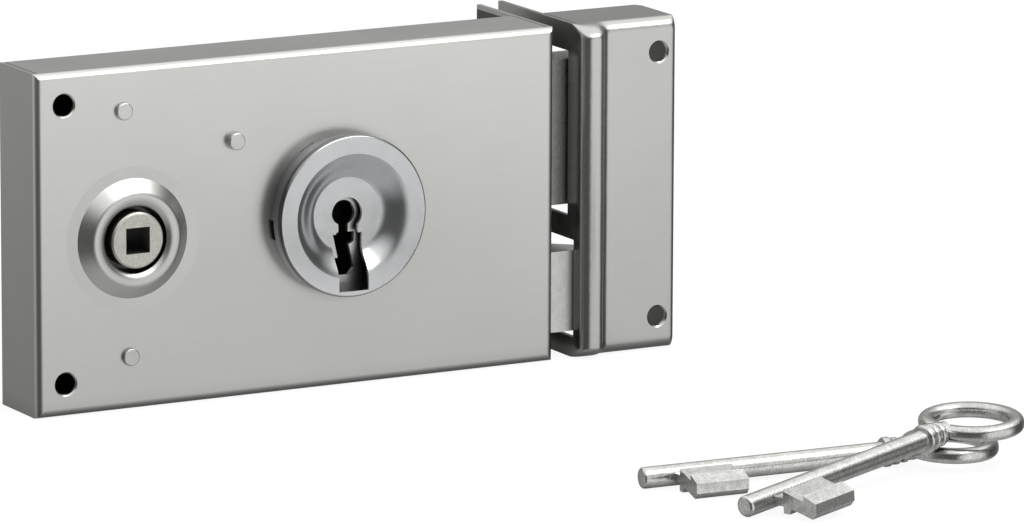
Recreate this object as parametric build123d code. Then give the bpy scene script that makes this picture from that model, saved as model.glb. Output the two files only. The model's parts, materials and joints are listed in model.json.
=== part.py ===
from build123d import *
import math
import os

# Rim box lock with its box keep and two keys, in millimetres.
# X runs from the hinge side to the forend, Y from the front to the door, Z up.
# The origin is the middle of the door face, which is the back of the case.

# Case, folded from one sheet and open at the back
case_width = 140.0
case_height = 83.0
case_depth = 19.5
sheet = 1.2
fold_radius = 2.0
seam = 0.25
forend_reach = 18.2
back_plate_thickness = 1.5
plate_gap = 0.15
tongue_width = 6.0
tongue_from_edge = 13.2
tongue_set_back = 0.4

# Fits and gaps shared by all pieces
overrun = 2.0
running_fit = 0.08
fixed_fit = 0.05
slide_gap = 0.35
layer_gap = 0.5
edge_break = 0.4

# Fixing holes of the case: two at the left, two in the forend behind the door face
screw_hole_radius = 2.65
screw_hole_break = 0.35
screw_hole_from_left = 7.5
screw_hole_from_edge = 7.9
forend_hole_behind_door = 10.0
forend_hole_from_edge = 11.5

# Follower: hub with a square hole, an arm that points down, and its embossed ring in the face
follower_from_left = 25.4
spindle_size = 6.0
spindle_play = 0.3
journal_radius = 6.8
journal_stand = 2.7
hub_radius = 9.0
arm_thickness = 4.0
arm_half = 2.5
follower_turn = 35.0
ring_halo = 17.5
ring_outer = 14.5
ring_shoulder = 11.6
ring_shoulder_rise = 2.15
ring_crest = 10.4
ring_mouth = 8.2
ring_rise = 2.5
ring_mouth_rise = 1.5
ring_dip = 0.25
ring_lip_sink = 2.2

# Key axis, keyhole and rosette
key_from_left = 81.7
key_above_middle = 1.1
keyhole_radius = 3.1
keyhole_neck_half = 1.3
keyhole_half = 2.9
keyhole_waist_half = 1.5
keyhole_shoulder_drop = 4.8
keyhole_step_drop = 7.2
keyhole_foot_drop = 11.0
keyhole_drop = 15.3
rosette_radius = 19.8
rosette_rise = 5.7
rosette_sheet = 0.8
rosette_rim_width = 4.5
rosette_floor_radius = 9.0
rosette_floor_rise = 2.0
rosette_edge_radius = 0.7
rosette_lip = 0.25
rosette_lip_height = 1.0
rosette_eye_radius = 4.1
rosette_slot_width = 8.0
rosette_slot_drop = 18.3
rosette_notch_height = 4.9
rosette_notch_depth = 1.5
rosette_tab_width = 4.0
rosette_tab_reach = 1.0
rosette_tab_count = 3
rosette_first_tab = 0.0
dish_floor_slope_share = 0.35
dish_rim_slope_share = 0.35

# Posts, pins and screws
post_upper_from_left = 23.05
post_lower_from_left = 24.5
post_upper_from_top = 10.5
post_lower_below_follower = 28.6
post_radius = 2.9
rivet_head_radius = 2.1
rivet_head_rise = 1.1
rivet_head_edge = 0.35
rivet_shank_radius = 1.6
plate_screw_radius = 1.5
plate_screw_head_radius = 2.7
plate_screw_length = 8.0
screw_slot_width = 0.8
screw_slot_depth = 0.6
guide_pin_from_left = 52.45
guide_pin_above_key = 20.2
guide_pin_head_rise = 1.9
guide_pin_radius = 2.5
spacer_radius = 4.2

# Latch: a head bevelled on its door side, on a flat tail with a lug for the follower's arm
latch_throw = 12.0
latch_height = 20.1
latch_thickness = 14.0
latch_from_bottom = 6.8
latch_head_inside = 12.0
latch_nose = 4.0
tail_thickness = 3.0
tail_joint = 8.0
latch_tail_height = 6.0
lug_length = 5.0
lug_height = 12.0
tail_rivet_radius = 1.5
latch_stud_radius = 2.0
latch_stud_from_left = 78.0
latch_stud_head_radius = 3.2
latch_stud_head_thickness = 1.2

# Deadbolt: a square head on a flat tail with a slot, a talon and two detent notches
deadbolt_throw = 14.0
deadbolt_thickness = 10.0
deadbolt_below_key = 4.9
deadbolt_from_top = 9.1
deadbolt_from_front = 5.8
deadbolt_head_inside = 12.0
deadbolt_chamfer = 0.6
tail_from_front = 9.6
tail_edge_above_key = 12.6
tail_top_above_pin = 5.8
talon_width = 6.0
talon_clearance = 0.5
slot_margin = 4.0
notch_width = 5.0
notch_depth = 2.6

# Tumbler: a lever on the guide pin, with a tooth bent back over the deadbolt's tail
tumbler_thickness = 2.0
tumbler_boss_radius = 5.0
tumbler_height = 9.5
tumbler_tooth_width = 4.0
tumbler_tooth_before_head = 18.1
tumbler_end_margin = 4.0

# Flat springs
spring_sheet = 0.4
spring_width = 3.0
spring_play = 0.3
spring_length_share = 0.75
spring_end_share = 0.35
spring_leg_share = 0.42

# Keep: a folded box with a rounded strike edge, the same height as the case
keep_gap = 6.1
keep_width = 28.2
keep_depth = 19.5
keep_flange_reach = 20.5
keep_fold_radius = 3.2
keep_fold_steps = 5
keep_fold_turn = 88.0
keep_round_width = 9.2
keep_round_rise = 4.0
keep_wall_set_back = 0.4
keep_corner_cut = 4.8
keep_crest_share = 0.42
keep_hole_from_right = 5.2
keep_hole_from_edge = 8.4
keep_hole_radius = 2.5
opening_below_deadbolt = 2.6
opening_above_deadbolt = 2.2
opening_in_front_of_deadbolt = 1.4
opening_below_latch = 1.7
opening_above_latch = 2.6
opening_in_front_of_latch = 0.25
opening_back_margin = 2.0

# Keys: round shank with a profiled bit, three collars and an oval bow
key_length = 89.0
key_shank_radius = 2.5
key_bit_from_tip = 7.5
key_bit_length = 13.0
key_bit_play = 0.3
key_collar_step = 0.3
key_tip_round = 0.8
key_collar_radius = 3.5
key_collar_width = 2.2
key_collar_count = 3
key_collar_groove = 0.9
key_bow_length = 22.0
key_bow_width = 26.5
key_bow_band = 3.7
key_bow_thickness = 3.6
key_bow_round = 1.5
key_rest_gap = 0.2
upper_bow_from_middle = 101.7
upper_bow_from_door = 161.2
upper_key_angle = 17.0
lower_bow_from_middle = 98.5
lower_bow_from_door = 157.0
lower_key_angle = -6.5

# Places worked out from the sizes above
left = -case_width / 2
right = case_width / 2
bottom = -case_height / 2
top = case_height / 2
middle = (bottom + top) / 2
front = -case_depth
inner_front = front + sheet
plate_front = -back_plate_thickness
follower_x = left + follower_from_left
follower_z = middle
key_x = left + key_from_left
key_z = middle + key_above_middle
pin_x = left + guide_pin_from_left
pin_z = key_z + guide_pin_above_key
screw_hole_spacing = case_height - 2 * screw_hole_from_edge
forend_hole_spacing = case_height - 2 * forend_hole_from_edge
keep_hole_spacing = case_height - 2 * keep_hole_from_edge
lower_post_x = left + post_lower_from_left
lower_post_z = follower_z - post_lower_below_follower
post_places = [(left + post_upper_from_left, top - post_upper_from_top), (lower_post_x, lower_post_z)]
tail_front = front + tail_from_front
tail_back = tail_front + tail_thickness
tumbler_back = tail_front - layer_gap
tumbler_front = tumbler_back - tumbler_thickness
arm_back = tail_front - layer_gap
arm_front = arm_back - arm_thickness
arm_reach = latch_throw / math.radians(follower_turn)
latch_front = inner_front + slide_gap
latch_back = latch_front + latch_thickness
latch_bottom = bottom + latch_from_bottom
latch_tail_bottom = lower_post_z + post_radius + spring_play + spring_sheet + layer_gap
latch_tail_top = latch_tail_bottom + latch_tail_height
latch_tail_middle = (latch_tail_bottom + latch_tail_top) / 2
lug_right = follower_x - arm_half - slide_gap
lug_left = lug_right - lug_length
bolt_front = front + deadbolt_from_front
bolt_back = bolt_front + deadbolt_thickness
bolt_bottom = key_z - deadbolt_below_key
bolt_top = top - deadbolt_from_top
bolt_tail_bottom = key_z + tail_edge_above_key
bolt_tail_top = pin_z + tail_top_above_pin
tooth_x = right - deadbolt_head_inside - deadbolt_throw - tumbler_tooth_before_head
keep_left = right + keep_gap
keep_right = keep_left + keep_width
keep_front = -keep_depth
stud_x = left + latch_stud_from_left
bow_centre_from_tip = key_length - key_bow_length / 2
collar_from_tip = key_length - key_bow_length - key_collar_groove - (key_collar_count - 1) * key_collar_width


def block(x0, x1, y0, y1, z0, z1):
    size = Box(x1 - x0, y1 - y0, z1 - z0)
    return Pos((x0 + x1) / 2, (y0 + y1) / 2, (z0 + z1) / 2) * size


def rod(radius, x, z, y0, y1):
    return Pos(x, (y0 + y1) / 2, z) * Rot(90, 0, 0) * Cylinder(radius, y1 - y0)


def flat(points, y0, y1):
    # a plate cut to an outline in X and Z, from y0 to y1
    outline = Wire.make_polygon([Vector(x, y0, z) for x, z in points])
    return extrude(Face(outline), amount=y1 - y0, dir=(0, 1, 0))


def turned(edges, x, z):
    # a ring or disc turned from edges drawn as radius and Y
    profile = make_face(Wire(edges))
    return Pos(x, 0, z) * revolve(profile, Axis.Y)


def strip(points, radii, thickness, y0, y1):
    # a flat spring: a bent centre line in X and Z, swept by its cross section
    middle = (y0 + y1) / 2
    path = FilletPolyline(*[(x, middle, z) for x, z in points], radius=radii)
    start = Plane(origin=path @ 0, x_dir=(0, 1, 0), z_dir=path % 0)
    return sweep(start * Rectangle(y1 - y0, thickness), path=path)


def keyhole_outline(x, z, play):
    # the lower part of the keyhole round the key axis, or with some play the key's bit
    neck = keyhole_neck_half - play
    half = keyhole_half - play
    waist = keyhole_waist_half - play
    shoulder = -keyhole_shoulder_drop - play
    step = -keyhole_step_drop + play
    foot = -keyhole_foot_drop - play
    end = -keyhole_drop + play
    shape_points = [(-neck, 0), (neck, 0), (neck, shoulder), (half, shoulder), (half, step),
                    (waist, step - waist / 2), (half, end + waist), (waist, end), (-waist, end),
                    (-half, foot), (-waist, foot), (-half, shoulder), (-neck, shoulder)]
    return [(x + across, z + up) for across, up in shape_points]


def keyhole_cut(y0, y1):
    return rod(keyhole_radius, key_x, key_z, y0, y1) + flat(keyhole_outline(key_x, key_z, 0), y0, y1)


def broken_edge(radius, x, z, y):
    # the cone that takes the sharp edge off a hole in a front face at y
    cone = Cone(radius, radius + screw_hole_break, screw_hole_break)
    return Pos(x, y + screw_hole_break / 2, z) * Rot(90, 0, 0) * cone


def screw_places():
    # the two fixing holes at the left of the case
    return [middle + side * screw_hole_spacing / 2 for side in (-1, 1)]


def follower_ring():
    # the ring pressed out of the face round the follower: outer skin, then inner skin
    lip_back = front + ring_lip_sink + sheet
    crest = (ring_crest, front - ring_rise)
    foot = (ring_outer, front + ring_dip)
    shoulder = (ring_shoulder, front - ring_shoulder_rise)
    mouth = (ring_mouth, front - ring_mouth_rise)
    bore = journal_radius + running_fit
    throat = ring_mouth - layer_gap
    inner_crest = (ring_crest, front - ring_rise + sheet)
    inner_foot = (ring_outer - sheet / 2, inner_front + ring_dip)
    inner_wall = (ring_mouth + sheet, front - ring_mouth_rise + sheet)
    edges = [
        Line((ring_halo, front), foot),
        Line(foot, shoulder),
        Spline(shoulder, crest, tangents=[(shoulder[0] - foot[0], shoulder[1] - foot[1]), (-1, 0)]),
        TangentArc(crest, mouth, tangent=(-1, 0)),
        Line(mouth, (throat, front + ring_lip_sink)),
        Line((throat, front + ring_lip_sink), (bore, front + ring_lip_sink)),
        Line((bore, front + ring_lip_sink), (bore, lip_back)),
        Line((bore, lip_back), (throat + sheet, lip_back)),
        Line((throat + sheet, lip_back), inner_wall),
        Line(inner_wall, inner_crest),
        TangentArc(inner_crest, inner_foot, tangent=(1, 0)),
        Line(inner_foot, (ring_halo, inner_front)),
        Line((ring_halo, inner_front), (ring_halo, front)),
    ]
    return turned(edges, follower_x, follower_z)


def folded_box():
    # the open box of the case with rounded folds at the front
    shell = block(left, right, front, 0, bottom, top)
    shell = fillet(shell.faces().sort_by(Axis.Y)[0].edges(), fold_radius)
    hollow = block(left + sheet, right - sheet, inner_front, overrun, bottom + sheet, top - sheet)
    hollow = fillet(hollow.faces().sort_by(Axis.Y)[0].edges(), fold_radius - sheet)
    return shell - hollow


def rosette_tab_angles():
    return [rosette_first_tab + turn * 360 / rosette_tab_count for turn in range(rosette_tab_count)]


def rosette_tab(grow):
    # the fixing tabs of the rosette, or with a grown size the slots for them
    tabs = []
    half = rosette_tab_width / 2 + grow
    inner = rosette_radius - rosette_sheet - grow
    outer = rosette_radius - rosette_lip + grow
    back = inner_front + rosette_tab_reach + grow
    for angle in rosette_tab_angles():
        tab = block(inner, outer, front, back, -half, half)
        tabs.append(Pos(key_x, 0, key_z) * Rot(0, angle, 0) * tab)
    return tabs


def case_cover():
    body = folded_box()
    body += block(right - sheet, right, front + fold_radius, forend_reach, bottom, top)
    for z0, z1 in ((bottom - overrun, bottom + sheet), (top - sheet, top + overrun)):
        for x in (left + sheet, right - sheet - seam):
            body -= block(x, x + seam, front + fold_radius, overrun, z0, z1)
    body -= rod(ring_halo, follower_x, follower_z, front - overrun, inner_front + overrun)
    body += follower_ring()
    body -= keyhole_cut(front - overrun, inner_front + overrun)
    for slot in rosette_tab(fixed_fit):
        body -= slot
    for z in screw_places():
        body -= rod(screw_hole_radius, left + screw_hole_from_left, z, front - overrun, overrun)
        body -= broken_edge(screw_hole_radius, left + screw_hole_from_left, z, front)
    for x, z in post_places:
        body -= rod(rivet_shank_radius + fixed_fit, x, z, front - overrun, overrun)
    body -= rod(rivet_shank_radius + fixed_fit, pin_x, pin_z, front - overrun, overrun)
    body -= block(right - fold_radius - sheet, right + overrun, latch_front - slide_gap,
                  latch_back + slide_gap, latch_bottom - slide_gap, latch_bottom + latch_height + slide_gap)
    body -= block(right - sheet - overrun, right + overrun, bolt_front - slide_gap, bolt_back + slide_gap,
                  bolt_bottom - slide_gap, bolt_top + slide_gap)
    for z in tongue_places():
        body -= block(right - sheet - overrun, right + overrun, plate_front - plate_gap, plate_gap,
                      z - tongue_width / 2 - plate_gap, z + tongue_width / 2 + plate_gap)
    for side in (-1, 1):
        hole = Rot(0, 90, 0) * Cylinder(screw_hole_radius, sheet + 2 * overrun)
        body -= Pos(right - sheet / 2, forend_hole_behind_door, side * forend_hole_spacing / 2) * hole
    return body


def tongue_places():
    # heights of the two tongues that hook the back plate into the forend
    return [bottom + tongue_from_edge, top - tongue_from_edge]


def back_plate():
    edge = sheet + plate_gap
    body = block(left + edge, right - edge, plate_front, 0, bottom + edge, top - edge)
    for z in tongue_places():
        body += block(right - edge - overrun, right, plate_front, -tongue_set_back,
                      z - tongue_width / 2, z + tongue_width / 2)
    body -= rod(journal_radius + running_fit, follower_x, follower_z, -case_depth, overrun)
    body -= keyhole_cut(plate_front - overrun, overrun)
    for z in screw_places():
        body -= rod(screw_hole_radius, left + screw_hole_from_left, z, plate_front - overrun, overrun)
    for x, z in post_places:
        body -= rod(plate_screw_radius + fixed_fit, x, z, plate_front - overrun, overrun)
        body -= screw_cone(x, z, fixed_fit)
    for x, z in ((pin_x, pin_z), (stud_x, latch_tail_middle)):
        body -= rod(rivet_shank_radius + fixed_fit, x, z, plate_front - overrun, overrun)
    return body


def screw_cone(x, z, grow):
    # the countersunk head of a back plate screw, flush with the door face
    head = plate_screw_head_radius + grow
    shank = plate_screw_radius + grow
    height = plate_screw_head_radius - plate_screw_radius
    return Pos(x, -height / 2, z) * Rot(-90, 0, 0) * Cone(shank, head, height)


def back_plate_screws():
    screws = []
    for x, z in post_places:
        screw = rod(plate_screw_radius, x, z, -plate_screw_length, -edge_break) + screw_cone(x, z, 0)
        slot = block(x - overrun - post_radius, x + overrun + post_radius,
                     -screw_slot_depth, overrun, z - screw_slot_width / 2, z + screw_slot_width / 2)
        screws.append(screw - slot)
    return screws


def rivet_end(x, z, rise):
    # a rivet head that stands out of the face, and its shank through the sheet
    head = rod(rivet_head_radius, x, z, front - rise, front)
    head = fillet(head.edges().sort_by(Axis.Y)[0], rivet_head_edge)
    return head + rod(rivet_shank_radius, x, z, front - rise / 2, inner_front + edge_break)


def corner_posts():
    posts = []
    for x, z in post_places:
        post = rod(post_radius, x, z, inner_front, plate_front) + rivet_end(x, z, rivet_head_rise)
        hole_end = -plate_screw_length - edge_break
        posts.append(post - rod(plate_screw_radius + fixed_fit, x, z, hole_end, overrun))
    return posts


def guide_pin():
    # the pin runs from its rivet head in the face to a riveted end in the back plate
    body = rod(guide_pin_radius, pin_x, pin_z, inner_front, plate_front)
    body += rivet_end(pin_x, pin_z, guide_pin_head_rise)
    return body + rod(rivet_shank_radius, pin_x, pin_z, plate_front - edge_break, 0)


def sleeve(y0, y1):
    outer = rod(spacer_radius, pin_x, pin_z, y0, y1)
    return outer - rod(guide_pin_radius + running_fit, pin_x, pin_z, y0 - overrun, y1 + overrun)


def tumbler_spacer():
    return sleeve(inner_front, tumbler_front - slide_gap / 2)


def bolt_spacer():
    return sleeve(tail_back + slide_gap / 2, plate_front)


def key_escutcheon():
    # a drawn sheet cup with a dished face; the profile is drawn as radius and Y
    rim = front - rosette_rise
    rim_inner = rosette_radius - rosette_rim_width
    floor = front - rosette_floor_rise
    wall = rosette_radius - rosette_sheet
    floor_back = floor + rosette_sheet
    rim_back = rim + rosette_sheet
    lip_end = rim + rosette_edge_radius + rosette_lip_height
    slope = rosette_sheet / 2
    edges = [
        Line((0, floor), (rosette_floor_radius, floor)),
        Spline((rosette_floor_radius, floor), (rim_inner, rim),
               tangents=[(1, -dish_floor_slope_share), (1, -dish_rim_slope_share)]),
        Line((rim_inner, rim), (rosette_radius - rosette_edge_radius, rim)),
        RadiusArc((rosette_radius - rosette_edge_radius, rim), (rosette_radius, rim + rosette_edge_radius),
                  -rosette_edge_radius),
        Line((rosette_radius, rim + rosette_edge_radius), (rosette_radius, lip_end)),
        Line((rosette_radius, lip_end), (rosette_radius - rosette_lip, lip_end)),
        Line((rosette_radius - rosette_lip, lip_end), (rosette_radius - rosette_lip, front)),
        Line((rosette_radius - rosette_lip, front), (wall, front)),
        Line((wall, front), (wall, rim_back)),
        Line((wall, rim_back), (rim_inner + slope, rim_back)),
        Spline((rim_inner + slope, rim_back), (rosette_floor_radius + slope, floor_back),
               tangents=[(-1, dish_rim_slope_share), (-1, dish_floor_slope_share)]),
        Line((rosette_floor_radius + slope, floor_back), (0, floor_back)),
        Line((0, floor_back), (0, floor)),
    ]
    body = turned(edges, key_x, key_z)
    slot = rosette_slot_width / 2
    body -= rod(rosette_eye_radius, key_x, key_z, rim - overrun, front + overrun)
    body -= flat([(key_x - keyhole_half, key_z), (key_x + keyhole_half, key_z),
                  (key_x + keyhole_half, key_z - keyhole_shoulder_drop),
                  (key_x + slot, key_z - keyhole_shoulder_drop),
                  (key_x + slot, key_z - rosette_slot_drop), (key_x - slot, key_z - rosette_slot_drop),
                  (key_x - slot, key_z - keyhole_shoulder_drop),
                  (key_x - keyhole_half, key_z - keyhole_shoulder_drop)], rim - overrun, front + overrun)
    notch = block(key_x - rosette_radius - overrun, key_x - wall + overrun, front - rosette_notch_depth,
                  front + overrun, key_z - rosette_notch_height, key_z)
    body -= notch
    for tab in rosette_tab(0):
        body += tab
    return body


def follower():
    journal_front = front - journal_stand
    hub_front = front + ring_lip_sink + sheet + slide_gap
    hub_back = plate_front - slide_gap
    body = rod(journal_radius, follower_x, follower_z, journal_front, 0)
    body = chamfer(body.edges().sort_by(Axis.Y)[0], edge_break)
    body += rod(hub_radius, follower_x, follower_z, hub_front, hub_back)
    body += block(follower_x - arm_half, follower_x + arm_half, arm_front, arm_back,
                  follower_z - arm_reach, follower_z)
    half = (spindle_size + spindle_play) / 2
    return body - block(follower_x - half, follower_x + half, journal_front - overrun, overrun,
                        follower_z - half, follower_z + half)


def rivet_row(x, middle, spacing):
    # two rivet places one above the other
    return [(x, middle - spacing / 2), (x, middle + spacing / 2)]


def latch_head():
    # the door side of the nose is bevelled, so that the keep's rounded edge pushes it in
    tip = right + latch_throw
    head_left = right - latch_head_inside
    outline = [(head_left, latch_front), (tip, latch_front), (tip, latch_front + latch_nose),
               (right + edge_break, latch_back), (head_left, latch_back)]
    wire = Wire.make_polygon([Vector(x, y, latch_bottom) for x, y in outline])
    body = extrude(Face(wire), amount=latch_height, dir=(0, 0, 1))
    body = chamfer(body.faces().sort_by(Axis.X)[-1].edges(), edge_break)
    body -= block(head_left - overrun, head_left + tail_joint, tail_front - fixed_fit, tail_back + fixed_fit,
                  latch_tail_bottom - fixed_fit, latch_tail_top + fixed_fit)
    for x, z in latch_rivet_places():
        body -= rod(tail_rivet_radius + fixed_fit, x, z, latch_front - overrun, latch_back + overrun)
    return body


def latch_rivet_places():
    return [(right - latch_head_inside + tail_joint / 2, latch_tail_middle)]


def latch_tail():
    head_left = right - latch_head_inside
    body = block(lug_left, head_left + tail_joint - fixed_fit, tail_front, tail_back,
                 latch_tail_bottom, latch_tail_top)
    body += block(lug_left, lug_right, arm_front, tail_back,
                  latch_tail_bottom, latch_tail_bottom + lug_height)
    for x, z in latch_rivet_places():
        body -= rod(tail_rivet_radius + fixed_fit, x, z, tail_front - overrun, tail_back + overrun)
    half = latch_stud_radius + running_fit
    slot_right = stud_x + latch_throw
    slot = block(stud_x, slot_right, tail_front - overrun, tail_back + overrun,
                 latch_tail_middle - half, latch_tail_middle + half)
    for x in (stud_x, slot_right):
        slot += rod(half, x, latch_tail_middle, tail_front - overrun, tail_back + overrun)
    return body - slot


def latch_rivets():
    return [rod(tail_rivet_radius, x, z, latch_front, latch_back) for x, z in latch_rivet_places()]


def latch_stud():
    # a shouldered stud on the back plate, with a head in front of the tail
    head_back = tail_front - slide_gap / 2
    body = rod(latch_stud_radius, stud_x, latch_tail_middle, head_back, plate_front)
    body += rod(latch_stud_head_radius, stud_x, latch_tail_middle,
                head_back - latch_stud_head_thickness, head_back)
    body += rod(latch_stud_head_radius, stud_x, latch_tail_middle, tail_back + slide_gap / 2, plate_front)
    return body + rod(rivet_shank_radius, stud_x, latch_tail_middle, plate_front - edge_break, 0)


def latch_spring():
    # a hairpin round the lower post: one leg on the hinge-side wall, one on the tail's lug
    bend = post_radius + spring_play + spring_sheet / 2
    loop_top = lower_post_z + bend
    lug_touch = lug_left - spring_sheet
    wall_touch = left + sheet + spring_sheet
    leg_low = bottom + sheet + 2 * spring_sheet
    # the leg stays below the sweep of the follower's arm
    leg_end = latch_tail_bottom + lug_height * spring_leg_share
    points = [(wall_touch, lower_post_z), (wall_touch, leg_low), (lower_post_x + bend, leg_low),
              (lower_post_x + bend, loop_top), (lug_touch, loop_top), (lug_touch, leg_end)]
    radii = [2 * spring_sheet, bend, bend, 2 * spring_sheet]
    return strip(points, radii, spring_sheet, arm_front, arm_front + spring_width)


def deadbolt_head():
    head_left = right - deadbolt_head_inside
    body = block(head_left, right + deadbolt_throw, bolt_front, bolt_back, bolt_bottom, bolt_top)
    body = chamfer(body.faces().sort_by(Axis.X)[-1].edges(), deadbolt_chamfer)
    body -= block(head_left - overrun, head_left + tail_joint, tail_front - fixed_fit, tail_back + fixed_fit,
                  bolt_tail_bottom - fixed_fit, bolt_tail_top + fixed_fit)
    for x, z in deadbolt_rivet_places():
        body -= rod(tail_rivet_radius + fixed_fit, x, z, bolt_front - overrun, bolt_back + overrun)
    return body


def deadbolt_rivet_places():
    middle = (bolt_tail_bottom + bolt_tail_top) / 2
    spacing = (bolt_tail_top - bolt_tail_bottom) / 2
    return rivet_row(right - deadbolt_head_inside + tail_joint / 2, middle, spacing)


def deadbolt_tail():
    head_left = right - deadbolt_head_inside
    slot_half = guide_pin_radius + running_fit
    tail_left = pin_x - slot_half - slot_margin
    body = block(tail_left, head_left + tail_joint - fixed_fit, tail_front, tail_back,
                 bolt_tail_bottom, bolt_tail_top)
    slot = block(pin_x, pin_x + deadbolt_throw, tail_front - overrun, tail_back + overrun,
                 pin_z - slot_half, pin_z + slot_half)
    for x in (pin_x, pin_x + deadbolt_throw):
        slot += rod(slot_half, x, pin_z, tail_front - overrun, tail_back + overrun)
    body -= slot
    talon_x = key_x + deadbolt_throw / 2
    talon_top = key_z + keyhole_drop + talon_clearance
    body -= block(talon_x - talon_width / 2, talon_x + talon_width / 2,
                  tail_front - overrun, tail_back + overrun, bolt_tail_bottom - overrun, talon_top)
    for x in (tooth_x, tooth_x + deadbolt_throw):
        body -= block(x - notch_width / 2, x + notch_width / 2, tail_front - overrun, tail_back + overrun,
                      bolt_tail_top - notch_depth, bolt_tail_top + overrun)
    for x, z in deadbolt_rivet_places():
        body -= rod(tail_rivet_radius + fixed_fit, x, z, tail_front - overrun, tail_back + overrun)
    return body


def deadbolt_rivets():
    return [rod(tail_rivet_radius, x, z, bolt_front, bolt_back) for x, z in deadbolt_rivet_places()]


def tumbler():
    # held just clear of the tail's top edge, as the key holds it
    tooth_bottom = bolt_tail_top + slide_gap
    upper = pin_z + tumbler_height
    belly = key_z + keyhole_drop + slide_gap
    end = tooth_x + tumbler_tooth_width / 2
    body = rod(tumbler_boss_radius, pin_x, pin_z, tumbler_front, tumbler_back)
    body += flat([(pin_x, pin_z - tumbler_boss_radius), (key_x - keyhole_drop, belly), (end, belly),
                  (end + tumbler_end_margin, tooth_bottom), (end, upper), (pin_x, upper)],
                 tumbler_front, tumbler_back)
    body += block(tooth_x - tumbler_tooth_width / 2, end, tumbler_back, tail_back, tooth_bottom, upper)
    bore = guide_pin_radius + running_fit
    return body - rod(bore, pin_x, pin_z, tumbler_front - overrun, tumbler_back + overrun)


def tumbler_spring():
    # a leaf that lies along the tumbler's top edge and presses up on the case's top wall
    seat = pin_z + tumbler_height + spring_sheet / 2
    wall = top - sheet - spring_play - spring_sheet / 2
    length = (tooth_x - pin_x) * spring_length_share
    rise = wall - seat
    points = [(pin_x, seat), (pin_x + length / 2, seat), (pin_x + length, wall),
              (pin_x + length + rise, wall - rise * spring_end_share)]
    y0 = (tumbler_front + tumbler_back - spring_width) / 2
    return strip(points, [rise, rise / 2], spring_sheet, y0, y0 + spring_width)


def keep_section(inset, share):
    # the keep seen from above in X and Y: wall, rounded strike edge, face, right wall; with a
    # share below one the front is drawn back towards the line where the folds end
    x0 = keep_left + inset
    x1 = keep_right - inset
    fold_end = keep_front + keep_fold_radius
    set_backs = [keep_wall_set_back, inset - keep_round_rise, inset, fold_radius]
    places = [fold_end + (keep_front + set_back - fold_end) * share for set_back in set_backs]
    wall_y, crest_y, face_y, edge_y = places
    crest = (keep_left + keep_round_width * keep_crest_share, crest_y)
    valley = (keep_left + keep_round_width, face_y)
    face_end = (x1 - fold_radius + inset, face_y)
    return make_face(Wire([
        Line((x0, overrun), (x0, wall_y)),
        Spline((x0, wall_y), crest, tangents=[(0, -1), (1, 0)]),
        Spline(crest, valley, tangents=[(1, 0), (1, 0)]),
        Line(valley, face_end),
        Spline(face_end, (x1, edge_y), tangents=[(1, 0), (0, 1)]),
        Line((x1, edge_y), (x1, overrun)),
        Line((x1, overrun), (x0, overrun)),
    ]))


def keep_fold(inset, way):
    # the top fold with way 1, the bottom fold with way -1: each step bends the front further back
    full_rise = (keep_fold_radius - inset) / math.sin(math.radians(keep_fold_turn))
    sections = []
    for step in range(keep_fold_steps + 1):
        turn = math.radians(keep_fold_turn * step / keep_fold_steps)
        height = way * (top - keep_fold_radius + full_rise * math.sin(turn))
        sections.append(Pos(0, 0, height) * keep_section(inset, math.cos(turn)))
    return loft(sections)


def keep_form(inset):
    straight = Pos(0, 0, bottom + keep_fold_radius) * keep_section(inset, 1)
    body = extrude(straight, amount=case_height - 2 * keep_fold_radius)
    return body + keep_fold(inset, 1) + keep_fold(inset, -1)


def keep_box():
    body = keep_form(0) - keep_form(sheet)
    body -= block(keep_left - overrun, keep_right + overrun, 0, keep_flange_reach,
                  bottom - overrun, top + overrun)
    fold_end = keep_front + keep_fold_radius
    body += block(keep_left, keep_left + sheet, fold_end, keep_flange_reach, bottom, top)
    for z0, z1 in ((bottom - overrun, bottom + sheet), (top - sheet, top + overrun)):
        body -= block(keep_left + sheet, keep_left + sheet + seam, fold_end, overrun, z0, z1)
    outside = keep_right + overrun
    corner = [Vector(outside, -keep_corner_cut, bottom), Vector(outside, overrun, bottom),
              Vector(keep_right - sheet, overrun, bottom), Vector(keep_right - sheet, 0, bottom)]
    body -= extrude(Face(Wire.make_polygon(corner)), amount=case_height, dir=(0, 0, 1))
    for z0, z1, y0 in keep_openings():
        body -= block(keep_left - overrun, keep_left + sheet + overrun, y0, -opening_back_margin, z0, z1)
    for side in (-1, 1):
        x = keep_right - keep_hole_from_right
        z = side * keep_hole_spacing / 2
        body -= rod(keep_hole_radius, x, z, keep_front - overrun, keep_front + sheet + overrun)
        body -= broken_edge(keep_hole_radius, x, z, keep_front)
    return body


def keep_openings():
    # the lowest and highest edge and the front edge of the openings for deadbolt and latch
    latch_top = latch_bottom + latch_height
    deadbolt_opening = (bolt_bottom - opening_below_deadbolt, bolt_top + opening_above_deadbolt,
                        bolt_front - opening_in_front_of_deadbolt)
    latch_opening = (latch_bottom - opening_below_latch, latch_top + opening_above_latch,
                     latch_front - opening_in_front_of_latch)
    return [deadbolt_opening, latch_opening]


def key_bit():
    # the bit fills the keyhole less its play, and points to -Y of the shank
    hanging = keyhole_outline(0, 0, key_bit_play)
    face = Face(Wire.make_polygon([Vector(key_bit_from_tip, z, -x) for x, z in hanging]))
    return extrude(face, amount=key_bit_length, dir=(1, 0, 0))


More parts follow.
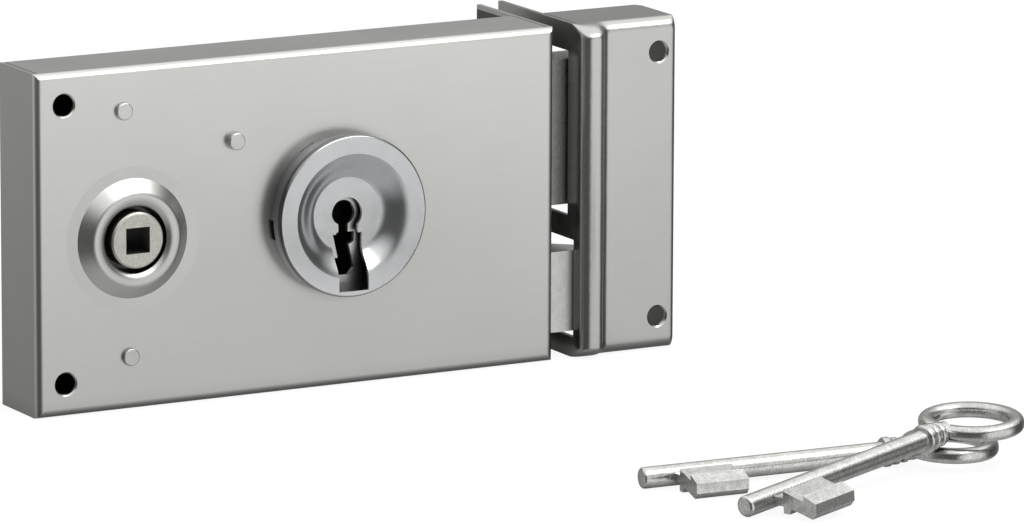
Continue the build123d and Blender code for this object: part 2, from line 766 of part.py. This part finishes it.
def key_solid():
    # a key lying flat, its tip at the origin and its bow along +X
    shank_end = key_length - key_bow_length + key_bow_band / 2
    shank = Pos(shank_end / 2, 0, 0) * Rot(0, 90, 0) * Cylinder(key_shank_radius, shank_end)
    body = fillet(shank.edges().sort_by(Axis.X)[0], key_tip_round)
    for step in range(key_collar_count):
        radius = key_collar_radius - step * key_collar_step
        width = key_collar_width - step * key_collar_step
        bead = Pos(collar_from_tip + step * key_collar_width, 0, 0) * Rot(0, 90, 0) * Cylinder(radius, width)
        body += fillet(bead.edges().filter_by(GeomType.CIRCLE), width / 3)
    bow = extrude(Ellipse(key_bow_length / 2, key_bow_width / 2), amount=key_bow_thickness / 2, both=True)
    bow -= extrude(Ellipse(key_bow_length / 2 - key_bow_band, key_bow_width / 2 - key_bow_band),
                   amount=key_bow_thickness, both=True)
    round_edges = bow.edges().group_by(Axis.Z)[0] + bow.edges().group_by(Axis.Z)[-1]
    bow = fillet(round_edges, key_bow_round)
    return body + Pos(bow_centre_from_tip, 0, 0) * bow + key_bit()


def placed_key(x, y, angle, tilt):
    # the bow's middle is at x and y, and the key rises by its tilt from its tip on the floor
    reach = bow_centre_from_tip * math.cos(math.radians(tilt))
    tip_x = x - reach * math.cos(math.radians(angle))
    tip_y = y - reach * math.sin(math.radians(angle))
    height = bottom + key_shank_radius
    return Pos(tip_x, tip_y, height) * Rot(0, 0, angle) * Rot(0, -tilt, 0) * key_solid()


def lower_tilt():
    # the lower key rests on its tip and its largest collar
    rise = key_collar_radius - key_shank_radius
    return math.degrees(math.asin(rise / collar_from_tip))


def upper_tilt():
    # the upper key's smallest collar rests on the lower key's bow
    last = key_collar_count - 1
    collar_x = collar_from_tip + last * key_collar_width
    collar_radius = key_collar_radius - last * key_collar_step
    bow_height = bow_centre_from_tip * math.sin(math.radians(lower_tilt()))
    lift = bow_height + key_bow_thickness / 2 + key_rest_gap + collar_radius
    return math.degrees(math.asin(lift / collar_x))


def pieces():
    return {
        "case_cover": case_cover(),
        "back_plate": back_plate(),
        "back_plate_screws": back_plate_screws(),
        "corner_posts": corner_posts(),
        "guide_pin": guide_pin(),
        "tumbler_spacer": tumbler_spacer(),
        "bolt_spacer": bolt_spacer(),
        "key_escutcheon": key_escutcheon(),
        "follower": follower(),
        "latch_head": latch_head(),
        "latch_tail": latch_tail(),
        "latch_rivets": latch_rivets(),
        "latch_stud": latch_stud(),
        "latch_spring": latch_spring(),
        "deadbolt_head": deadbolt_head(),
        "deadbolt_tail": deadbolt_tail(),
        "deadbolt_rivets": deadbolt_rivets(),
        "tumbler": tumbler(),
        "tumbler_spring": tumbler_spring(),
        "keep_box": keep_box(),
        "key_lower": placed_key(lower_bow_from_middle, -lower_bow_from_door, lower_key_angle, lower_tilt()),
        "key_upper": placed_key(upper_bow_from_middle, -upper_bow_from_door, upper_key_angle, upper_tilt()),
    }


def write(name, shape):
    # a group of like fasteners is written as separate solids in one file
    kept = shape
    if isinstance(shape, list):
        kept = Compound(children=[solid for piece in shape for solid in piece.solids()])
    export_step(kept, "parts/" + name + ".step")


os.makedirs("parts", exist_ok=True)
for piece_name, piece_shape in pieces().items():
    write(piece_name, piece_shape)
    print(piece_name)
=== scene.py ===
import json
import math

import bpy
from mathutils import Matrix, Vector


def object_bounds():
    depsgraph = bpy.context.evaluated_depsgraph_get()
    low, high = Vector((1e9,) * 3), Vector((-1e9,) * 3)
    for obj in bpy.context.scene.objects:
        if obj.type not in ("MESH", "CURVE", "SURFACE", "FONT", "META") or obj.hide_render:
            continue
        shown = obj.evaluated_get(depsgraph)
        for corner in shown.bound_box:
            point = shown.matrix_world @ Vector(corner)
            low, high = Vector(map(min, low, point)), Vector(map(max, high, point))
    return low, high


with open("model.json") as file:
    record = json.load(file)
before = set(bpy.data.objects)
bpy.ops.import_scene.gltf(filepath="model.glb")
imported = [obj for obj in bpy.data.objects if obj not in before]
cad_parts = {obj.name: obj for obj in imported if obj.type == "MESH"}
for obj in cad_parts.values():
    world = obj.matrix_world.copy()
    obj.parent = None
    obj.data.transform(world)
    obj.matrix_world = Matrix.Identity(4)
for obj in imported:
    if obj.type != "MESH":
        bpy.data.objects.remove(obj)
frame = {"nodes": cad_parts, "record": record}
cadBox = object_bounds()
nodes = frame["nodes"]
print("lock: frame loaded,", len(nodes), "nodes")


# small helpers for node trees

noiseSpan = (0.3, 0.7)  # nearly all values of a noise lie in here
white = (1.0, 1.0, 1.0, 1.0)


def addNode(tree, kind, values=None, **settings):
    node = tree.nodes.new(kind)
    for name, value in settings.items():
        setattr(node, name, value)
    for name, value in (values or {}).items():
        node.inputs[name].default_value = value
    return node


def join(tree, source, target):
    tree.links.new(source, target)


def feed(tree, sockets, values):
    # each socket gets a plain value or a link
    for socket, value in zip(sockets, values):
        if value is None:
            continue
        if isinstance(value, (int, float, tuple)):
            socket.default_value = value
        else:
            join(tree, value, socket)


def mathNode(tree, operation, first, second=None, clamp=False):
    node = addNode(tree, "ShaderNodeMath", operation=operation, use_clamp=clamp)
    feed(tree, node.inputs, (first, second))
    return node.outputs[0]


def mixColour(tree, factor, first, second, blend="MIX"):
    node = addNode(tree, "ShaderNodeMix", data_type="RGBA", blend_type=blend)
    feed(tree, (node.inputs[0], node.inputs[6], node.inputs[7]), (factor, first, second))
    return node.outputs[2]


def mixValue(tree, factor, first, second):
    node = addNode(tree, "ShaderNodeMix", data_type="FLOAT")
    feed(tree, (node.inputs[0], node.inputs[2], node.inputs[3]), (factor, first, second))
    return node.outputs[0]


def remap(tree, value, low, high, fromLow=noiseSpan[0], fromHigh=noiseSpan[1]):
    node = addNode(tree, "ShaderNodeMapRange",
                   {"From Min": fromLow, "From Max": fromHigh, "To Min": low, "To Max": high})
    join(tree, value, node.inputs["Value"])
    return node.outputs[0]


def splitPlace(tree):
    # the place on the object as X, Y and Z
    place = addNode(tree, "ShaderNodeTexCoord").outputs["Object"]
    split = addNode(tree, "ShaderNodeSeparateXYZ")
    join(tree, place, split.inputs[0])
    return place, split.outputs


def newGroup(name, inputs, outputs):
    group = bpy.data.node_groups.new(name, "ShaderNodeTree")
    for label, value in inputs:
        socket = group.interface.new_socket(name=label, in_out="INPUT", socket_type="NodeSocketFloat")
        socket.default_value = value
    for label in outputs:
        group.interface.new_socket(name=label, in_out="OUTPUT", socket_type="NodeSocketFloat")
    return group, group.nodes.new("NodeGroupInput"), group.nodes.new("NodeGroupOutput")


def placeGroup(tree, group, values=None):
    return addNode(tree, "ShaderNodeGroup", values, node_tree=group)


def noiseAt(tree, coordinates, scale, detail, roughness, distortion=0.0):
    node = addNode(tree, "ShaderNodeTexNoise",
                   {"Detail": detail, "Roughness": roughness, "Distortion": distortion})
    feed(tree, (node.inputs["Scale"], node.inputs["Vector"]), (scale, coordinates))
    return node.outputs["Fac"]


# effects shared by the finishes. A noise is given as detail, roughness and distortion

rolledSet = {"lineNoise": (4.0, 0.65), "cloudNoise": (3.0, 0.55, 0.4),
             "speckleScale": 4200.0, "speckleNoise": (1.0, 0.4)}


def makeRolledGrain():
    # fine lines that rolling leaves along X, with cloudy variation of the satin finish
    group, inside, outside = newGroup(
        "rolledGrain", [("Line Scale", 900.0), ("Line Length", 12.0), ("Cloud Scale", 30.0)],
        ["Lines", "Clouds", "Speckle"])
    place, split = splitPlace(group)
    drawn = mathNode(group, "DIVIDE", split["X"], inside.outputs["Line Length"])
    merged = addNode(group, "ShaderNodeCombineXYZ")
    feed(group, merged.inputs, (drawn, split["Y"], split["Z"]))
    lines = noiseAt(group, merged.outputs[0], inside.outputs["Line Scale"], *rolledSet["lineNoise"])
    clouds = noiseAt(group, place, inside.outputs["Cloud Scale"], *rolledSet["cloudNoise"])
    speckle = noiseAt(group, place, rolledSet["speckleScale"], *rolledSet["speckleNoise"])
    feed(group, outside.inputs, (lines, clouds, speckle))
    return group


castSet = {"pitNoise": (3.0, 0.7), "pitGain": 3.0, "flowNoise": (4.0, 0.6, 0.8)}


def makeCastGrain():
    # the pitted, sparkling skin of a die casting, and its larger cold-flow marks
    group, inside, outside = newGroup(
        "castGrain", [("Pit Scale", 1500.0), ("Flow Scale", 260.0)], ["Pits", "Flow"])
    place = addNode(group, "ShaderNodeTexCoord").outputs["Object"]
    cells = addNode(group, "ShaderNodeTexVoronoi", feature="SMOOTH_F1")
    join(group, place, cells.inputs["Vector"])
    join(group, inside.outputs["Pit Scale"], cells.inputs["Scale"])
    fine = noiseAt(group, place, inside.outputs["Pit Scale"], *castSet["pitNoise"])
    pits = mathNode(group, "MULTIPLY", cells.outputs["Distance"], fine)
    flow = noiseAt(group, place, inside.outputs["Flow Scale"], *castSet["flowNoise"])
    feed(group, outside.inputs, (mathNode(group, "MULTIPLY", pits, castSet["pitGain"], True), flow))
    return group


edgeSet = {"samples": 4, "patchScale": 700.0, "patchNoise": (3.0, 0.6), "gain": 8.0}


def makeEdgeShine():
    # a mask of the edges, broken up by noise: handling polishes them, and the finishes also paint a highlight
    # along them
    group, inside, outside = newGroup("edgeShine", [("Width", 0.0004), ("Breakup", 0.5)], ["Mask"])
    rounded = addNode(group, "ShaderNodeBevel", samples=edgeSet["samples"])
    join(group, inside.outputs["Width"], rounded.inputs["Radius"])
    flat = addNode(group, "ShaderNodeNewGeometry").outputs["Normal"]
    dot = addNode(group, "ShaderNodeVectorMath", operation="DOT_PRODUCT")
    feed(group, dot.inputs, (rounded.outputs[0], flat))
    bend = mathNode(group, "SUBTRACT", 1.0, dot.outputs["Value"])
    place = addNode(group, "ShaderNodeTexCoord").outputs["Object"]
    patches = noiseAt(group, place, edgeSet["patchScale"], *edgeSet["patchNoise"])
    broken = mathNode(group, "SUBTRACT", 1.0,
                      mathNode(group, "MULTIPLY", patches, inside.outputs["Breakup"]))
    sharp = mathNode(group, "MULTIPLY", bend, edgeSet["gain"], True)
    join(group, mathNode(group, "MULTIPLY", sharp, broken, True), outside.inputs["Mask"])
    return group


def makeCavity():
    # how open a place is: 0 deep in a gap or hole, 1 out in the open; the finishes use it to paint shade into
    # the closed places
    group, inside, outside = newGroup(
        "cavity", [("Reach", 0.01), ("Closed", 0.1), ("Open", 0.6)], ["Open"])
    sky = addNode(group, "ShaderNodeAmbientOcclusion", samples=6)
    join(group, inside.outputs["Reach"], sky.inputs["Distance"])
    spread = addNode(group, "ShaderNodeMapRange", {"To Min": 0.0, "To Max": 1.0})
    join(group, sky.outputs["AO"], spread.inputs["Value"])
    join(group, inside.outputs["Closed"], spread.inputs["From Min"])
    join(group, inside.outputs["Open"], spread.inputs["From Max"])
    join(group, spread.outputs[0], outside.inputs["Open"])
    return group


def makeInnerSide():
    # 1 on the inner side of a sheet box, 0 on its outside; the finishes paint that inner side dark as shade
    inputs = [(word + " " + axis, 0.01) for axis in "XYZ" for word in ("Middle", "Half")]
    group, inside, outside = newGroup("innerSide", inputs, ["Mask"])
    split = splitPlace(group)[1]
    mask = 1.0
    for axis in "XYZ":
        offset = mathNode(group, "SUBTRACT", split[axis], inside.outputs["Middle " + axis])
        away = mathNode(group, "ABSOLUTE", offset)
        within = mathNode(group, "LESS_THAN", away, inside.outputs["Half " + axis])
        mask = mathNode(group, "MULTIPLY", within, mask)
    join(group, mask, outside.inputs["Mask"])
    return group


rolledGrain = makeRolledGrain()
castGrain = makeCastGrain()
edgeShine = makeEdgeShine()
cavity = makeCavity()
innerSide = makeInnerSide()
print("lock: shared effects built")


# the two kinds of finish

# colours of the painted shade: a warm tint for gaps and holes, and the near black painted on a box's inner side
paintedShade = {"tint": (1.0, 0.98, 0.95), "innerShadeColour": (0.05, 0.05, 0.048, 1.0)}
# painted reflection: a satin box is drawn darker towards the bottom and lighter towards the top
paintedReflectionSpan = (-0.04, 0.04)  # heights between which a satin box fades from its lower to its upper tone


def startFinish(name):
    material = bpy.data.materials.new(name)
    material.use_nodes = True
    tree = material.node_tree
    tree.nodes.clear()
    shader = addNode(tree, "ShaderNodeBsdfPrincipled", {"Metallic": 1.0})
    output = addNode(tree, "ShaderNodeOutputMaterial")
    join(tree, shader.outputs[0], output.inputs["Surface"])
    return material, tree, shader


def bumpFrom(tree, shader, height, strength, distance):
    node = addNode(tree, "ShaderNodeBump", {"Strength": strength, "Distance": distance})
    join(tree, height, node.inputs["Height"])
    join(tree, node.outputs[0], shader.inputs["Normal"])


def shadeCavities(tree, colour, look):
    # painted shade: gaps, holes and the places between parts are drawn darker the more closed they are, and a
    # sheet box's inner side is painted nearly black as shade
    openness = placeGroup(tree, cavity, {"Reach": look["cavityReach"]}).outputs[0]
    deep = tuple(share * look["cavityShade"] for share in paintedShade["tint"]) + (1.0,)
    shaded = mixColour(tree, 1.0, colour, mixColour(tree, openness, deep, white), "MULTIPLY")
    # painted shade: the inner side of a sheet box is drawn nearly black, as it lies in shade
    if "box" in look:
        values = {}
        for axis, (low, high) in zip("XYZ", look["box"]):
            values["Middle " + axis] = (low + high) / 2
            values["Half " + axis] = (high - low) / 2
        inner = placeGroup(tree, innerSide, values).outputs[0]
        share = mathNode(tree, "MULTIPLY", inner, look["innerShade"])
        shaded = mixColour(tree, share, shaded, paintedShade["innerShadeColour"])
    return shaded


def sheetTone(tree, grain, look):
    # speckle and rolled lines, a painted reflection that draws a box darker towards the bottom and lighter
    # towards the top, and a painted shade on the rosette's side wall
    speckle = remap(tree, grain.outputs["Speckle"], 1.0 - look["speckle"], 1.0 + look["speckle"])
    lines = remap(tree, grain.outputs["Lines"], 1.0 - look["lines"], 1.0 + look["lines"])
    tone = mathNode(tree, "MULTIPLY", speckle, lines)
    split = splitPlace(tree)[1]
    # painted reflection, darker low and lighter high over the box's height
    if "paintedReflection" in look:
        tone = mathNode(tree, "MULTIPLY", tone, remap(tree, split["Z"], *look["paintedReflection"], *paintedReflectionSpan))
    # painted shade: the rosette's side wall and rim edge are drawn darker, as they lie in shade
    if "skirtShade" in look:
        aside, above = (mathNode(tree, "SUBTRACT", split[axis], middle)
                        for axis, middle in zip("XZ", look["skirtMiddle"]))
        squares = [mathNode(tree, "MULTIPLY", away, away) for away in (aside, above)]
        radius = mathNode(tree, "SQRT", mathNode(tree, "ADD", *squares))
        tone = mathNode(tree, "MULTIPLY", tone,
                        remap(tree, radius, 1.0, look["skirtShade"], *look["skirtSpan"]))
    return tone


sheetSet = {"edgePolish": 0.12, "bumpDepth": 0.00003}


def sheetFinish(name, look):
    # satin plated sheet: rolled lines, clouds, fine speckle, and edges made glossier by polish and brighter by
    # a painted highlight
    material, tree, shader = startFinish(name)
    grain = placeGroup(tree, rolledGrain, {"Line Scale": look["lineScale"], "Cloud Scale": look["cloudScale"]})
    shine = placeGroup(tree, edgeShine, {"Width": look["edgeWidth"]})
    cloud = remap(tree, grain.outputs["Clouds"], 0.0, 1.0)
    base = mixColour(tree, cloud, look["dark"], look["light"])
    toned = mixColour(tree, 1.0, base, sheetTone(tree, grain, look), "MULTIPLY")
    # painted highlight: the edges are drawn in a lighter colour
    edged = mixColour(tree, shine.outputs[0], toned, look["edge"])
    join(tree, shadeCavities(tree, edged, look), shader.inputs["Base Color"])
    rough = remap(tree, grain.outputs["Clouds"],
                  look["rough"] - look["roughSpread"], look["rough"] + look["roughSpread"])
    polish = mathNode(tree, "MULTIPLY", shine.outputs[0], sheetSet["edgePolish"])
    join(tree, mathNode(tree, "SUBTRACT", rough, polish), shader.inputs["Roughness"])
    height = mathNode(tree, "ADD", grain.outputs["Lines"], grain.outputs["Speckle"])
    bumpFrom(tree, shader, height, look["bump"], sheetSet["bumpDepth"])
    return material


skinSet = {"edgePolish": 0.1, "edgeBreakup": 0.7, "pitSpan": (0.1, 0.7)}


def castFinish(name, look):
    # grainy casting or zinc plate: sparkle, flow marks and rubbed edges, whose lighter colour is a painted
    # highlight
    material, tree, shader = startFinish(name)
    grain = placeGroup(tree, castGrain, {"Pit Scale": look["pitScale"], "Flow Scale": look["flowScale"]})
    shine = placeGroup(tree, edgeShine, {"Width": look["edgeWidth"], "Breakup": skinSet["edgeBreakup"]})
    flow = remap(tree, grain.outputs["Flow"], 0.0, 1.0)
    base = mixColour(tree, flow, look["dark"], look["light"])
    pits = remap(tree, grain.outputs["Pits"], 1.0 - look["pits"], 1.0, *skinSet["pitSpan"])
    pitted = mixColour(tree, 1.0, base, pits, "MULTIPLY")
    # painted highlight: the edges are drawn in a lighter colour
    edged = mixColour(tree, shine.outputs[0], pitted, look["edge"])
    join(tree, shadeCavities(tree, edged, look), shader.inputs["Base Color"])
    rough = remap(tree, grain.outputs["Flow"],
                  look["rough"] + look["roughSpread"], look["rough"] - look["roughSpread"])
    polish = mathNode(tree, "MULTIPLY", shine.outputs[0], skinSet["edgePolish"])
    join(tree, mathNode(tree, "SUBTRACT", rough, polish), shader.inputs["Roughness"])
    height = mathNode(tree, "ADD", grain.outputs["Pits"], grain.outputs["Flow"])
    bumpFrom(tree, shader, height, look["bump"], look["bumpDepth"])
    return material


# what a user would change about each finish. A box gives the X, Y and Z spans of a sheet box's inner side,
# which is painted nearly black as shade; the cavity values set the painted shade in gaps and holes, the fading
# pair a painted reflection that is darker low and lighter high, and the rosette's side wall takes a painted
# shade

satinCase = {"dark": (0.56, 0.56, 0.54, 1), "light": (0.6, 0.6, 0.58, 1), "edge": (0.7, 0.7, 0.68, 1),
             "lineScale": 900.0, "cloudScale": 18.0, "edgeWidth": 0.0003, "speckle": 0.02, "lines": 0.01,
             "rough": 0.3, "roughSpread": 0.02, "bump": 0.1,
             "cavityReach": 0.01, "cavityShade": 0.06, "innerShade": 0.85, "paintedReflection": (0.88, 1.2)}
rivetSteel = dict(satinCase, rough=0.36, cloudScale=150.0, lines=0.02)
satinKeep = dict(satinCase, lineScale=1000.0, rough=0.24, innerShade=0.75, paintedReflection=(0.83, 1.03),
                 box=((0.0772, 0.1032), (-0.0184, 0.1), (-0.0404, 0.0404)))
satinCase["box"] = ((-0.0689, 0.0689), (-0.0184, 0.1), (-0.0404, 0.0404))
nickelRosette = {"dark": (0.58, 0.59, 0.6, 1), "light": (0.64, 0.65, 0.66, 1), "edge": (0.8, 0.8, 0.8, 1),
                 "lineScale": 1500.0, "cloudScale": 90.0, "edgeWidth": 0.0002, "speckle": 0.05, "lines": 0.01,
                 "rough": 0.2, "roughSpread": 0.03, "bump": 0.16, "cavityReach": 0.006, "cavityShade": 0.04,
                 "skirtShade": 0.3, "skirtSpan": (0.0194, 0.0197), "skirtMiddle": (0.0117, 0.0011)}
plainSteel = {"dark": (0.4, 0.4, 0.39, 1), "light": (0.5, 0.5, 0.48, 1), "edge": (0.62, 0.62, 0.6, 1),
              "lineScale": 700.0, "cloudScale": 60.0, "edgeWidth": 0.0004, "speckle": 0.05, "lines": 0.05,
              "rough": 0.4, "roughSpread": 0.06, "bump": 0.3, "cavityReach": 0.006, "cavityShade": 0.1}
springSteel = dict(plainSteel, dark=(0.16, 0.17, 0.2, 1), light=(0.24, 0.26, 0.3, 1), rough=0.3)
castZinc = {"dark": (0.55, 0.54, 0.49, 1), "light": (0.67, 0.66, 0.6, 1), "edge": (0.8, 0.79, 0.74, 1),
            "pitScale": 3200.0, "flowScale": 1400.0, "edgeWidth": 0.0003, "pits": 0.3,
            "rough": 0.42, "roughSpread": 0.05, "bump": 0.35, "bumpDepth": 0.00004,
            "cavityReach": 0.02, "cavityShade": 0.02}
boltZinc = {"dark": (0.42, 0.42, 0.4, 1), "light": (0.5, 0.5, 0.475, 1), "edge": (0.68, 0.68, 0.66, 1),
            "pitScale": 2600.0, "flowScale": 500.0, "edgeWidth": 0.0004, "pits": 0.3,
            "rough": 0.45, "roughSpread": 0.05, "bump": 0.35, "bumpDepth": 0.00004,
            "cavityReach": 0.005, "cavityShade": 0.05}
latchZinc = dict(boltZinc, dark=(0.58, 0.58, 0.56, 1), light=(0.64, 0.64, 0.62, 1),
                 pits=0.1, bump=0.15, rough=0.36)
keyNickel = {"dark": (0.56, 0.56, 0.54, 1), "light": (0.82, 0.82, 0.79, 1), "edge": (0.88, 0.88, 0.85, 1),
             "pitScale": 3400.0, "flowScale": 520.0, "edgeWidth": 0.0004, "pits": 0.3,
             "rough": 0.2, "roughSpread": 0.05, "bump": 0.26, "bumpDepth": 0.00006,
             "cavityReach": 0.004, "cavityShade": 0.06}

finishes = {
    "satin_case": sheetFinish("satinCase", satinCase),
    "satin_keep": sheetFinish("satinKeep", satinKeep),
    "nickel_rosette": sheetFinish("nickelRosette", nickelRosette),
    "plain_steel": sheetFinish("plainSteel", plainSteel),
    "rivet_steel": sheetFinish("rivetSteel", rivetSteel),
    "spring_steel": sheetFinish("springSteel", springSteel),
    "cast_zinc": castFinish("castZinc", castZinc),
    "bolt_zinc": castFinish("boltZinc", boltZinc),
    "key_nickel": castFinish("keyNickel", keyNickel),
}
ownFinish = {"latch_head": castFinish("latchZinc", latchZinc)}  # pieces that don't take their slot's finish
slotOfNode = {part["node"]: part["material_slot"] for part in frame["record"]["subparts"]}
for name, node in nodes.items():
    finish = ownFinish.get(name) or finishes[slotOfNode[name]]
    node.data.materials.clear()
    node.data.materials.append(finish)
print("lock: finishes on", len(nodes), "nodes")


# floor, world, light and camera

floorSet = {"half": 1.6, "drop": 0.0001, "paper": (0.72, 0.72, 0.72, 1), "glow": 0.85, "glowLevel": 1.08}


def mirrorRays(tree, path):
    return mathNode(tree, "MAXIMUM", path.outputs["Is Glossy Ray"], path.outputs["Is Transmission Ray"])


def makeFloor():
    # white to the camera, with the object's soft shadow; the metal sees the world below the horizon instead
    half = floorSet["half"]
    height = cadBox[0].z - floorSet["drop"]
    corners = [(x, y, height) for x, y in ((-half, -half), (half, -half), (half, half), (-half, half))]
    mesh = bpy.data.meshes.new("floor")
    mesh.from_pydata(corners, [], [(0, 1, 2, 3)])
    floor = bpy.data.objects.new("floor", mesh)
    bpy.context.scene.collection.objects.link(floor)
    material = bpy.data.materials.new("paleFloor")
    material.use_nodes = True
    tree = material.node_tree
    tree.nodes.clear()
    path = addNode(tree, "ShaderNodeLightPath")
    seen = mathNode(tree, "MAXIMUM", path.outputs["Is Camera Ray"], mirrorRays(tree, path))
    paper = addNode(tree, "ShaderNodeBsdfDiffuse", {"Color": floorSet["paper"]})
    glow = addNode(tree, "ShaderNodeEmission", {"Color": white, "Strength": floorSet["glowLevel"]})
    mix = addNode(tree, "ShaderNodeMixShader")
    join(tree, mathNode(tree, "MULTIPLY", seen, floorSet["glow"]), mix.inputs["Fac"])
    join(tree, paper.outputs[0], mix.inputs[1])
    join(tree, glow.outputs[0], mix.inputs[2])
    output = addNode(tree, "ShaderNodeOutputMaterial")
    join(tree, mix.outputs[0], output.inputs["Surface"])
    mesh.materials.append(material)
    floor.visible_glossy = False


# what the metal sees round it: each side has a direction, the cosines between which it comes in, and its level
worldSet = {"ambient": 0.8, "dark": 0.1, "sides": [
    {"name": "left", "towards": (-0.8, 0.6, 0.0), "from": 0.7, "full": 0.95, "level": 0.62},
    {"name": "back", "towards": (0.0, 1.0, 0.0), "from": 0.3, "full": 0.8, "level": 0.31},
    {"name": "white sheet in front", "towards": (0.31, -0.93, -0.2), "from": 0.68, "full": 0.88, "level": 0.92},
    {"name": "above", "towards": (0.0, 0.0, 1.0), "from": 0.35, "full": 0.7, "level": 1.15},
    {"name": "below", "towards": (0.0, 0.0, -1.0), "from": 0.4, "full": 0.75, "level": 0.5}]}


def makeWorld():
    # white to the camera; to the metal the studio round the object; an even grey to the rest
    world = bpy.data.worlds.new("studio")
    bpy.context.scene.world = world
    world.use_nodes = True
    tree = world.node_tree
    tree.nodes.clear()
    path = addNode(tree, "ShaderNodeLightPath")
    direction = addNode(tree, "ShaderNodeTexCoord").outputs["Generated"]
    level = worldSet["dark"]
    for side in worldSet["sides"]:
        facing = addNode(tree, "ShaderNodeVectorMath", operation="DOT_PRODUCT")
        feed(tree, facing.inputs, (direction, side["towards"]))
        share = remap(tree, facing.outputs["Value"], 0.0, 1.0, side["from"], side["full"])
        level = mixValue(tree, share, level, side["level"])
    seen = mixValue(tree, mirrorRays(tree, path), worldSet["ambient"], level)
    background = addNode(tree, "ShaderNodeBackground", {"Color": white})
    join(tree, mixValue(tree, path.outputs["Is Camera Ray"], seen, 1.0), background.inputs["Strength"])
    output = addNode(tree, "ShaderNodeOutputWorld")
    join(tree, background.outputs[0], output.inputs["Surface"])


softbox = {"name": "highFront", "place": (0.45, -0.75, 1.15), "size": (1.3, 0.6), "power": 8.0}


def makeLight():
    data = bpy.data.lights.new(softbox["name"], "AREA")
    data.shape = "RECTANGLE"
    data.size, data.size_y = softbox["size"]
    data.energy = softbox["power"]
    lamp = bpy.data.objects.new(softbox["name"], data)
    lamp.location = softbox["place"]
    lamp.rotation_mode = "QUATERNION"
    lamp.rotation_quaternion = Vector(softbox["place"]).to_track_quat("Z", "Y")
    bpy.context.scene.collection.objects.link(lamp)


cameraSet = {"azimuth": -28.896, "elevation": 11.661, "roll": 0.218, "distance": 1.982,
             "target": (0.0582, -0.0195, -0.01605), "lens": 285.8, "sensor": 36.0, "sight": 50.0}


def makeCamera():
    azimuth, elevation, roll = (math.radians(cameraSet[name]) for name in ("azimuth", "elevation", "roll"))
    level = math.cos(elevation)
    back = Vector((math.sin(azimuth) * level, -math.cos(azimuth) * level, math.sin(elevation)))
    right = (-back).cross(Vector((0, 0, 1))).normalized()
    up = right.cross(-back)
    across = right * math.cos(roll) + up * math.sin(roll)
    upright = up * math.cos(roll) - right * math.sin(roll)
    data = bpy.data.cameras.new("camera")
    data.lens = cameraSet["lens"]
    data.sensor_width = cameraSet["sensor"]
    data.clip_end = cameraSet["sight"]
    camera = bpy.data.objects.new("camera", data)
    turn = Matrix((across, upright, back)).transposed()
    place = Vector(cameraSet["target"]) + back * cameraSet["distance"]
    camera.matrix_world = Matrix.Translation(place) @ turn.to_4x4()
    bpy.context.scene.collection.objects.link(camera)
    bpy.context.scene.camera = camera


makeFloor()
makeWorld()
makeLight()
makeCamera()
bpy.context.scene.view_settings.view_transform = "Standard"
print("lock: floor, world, light and camera set")
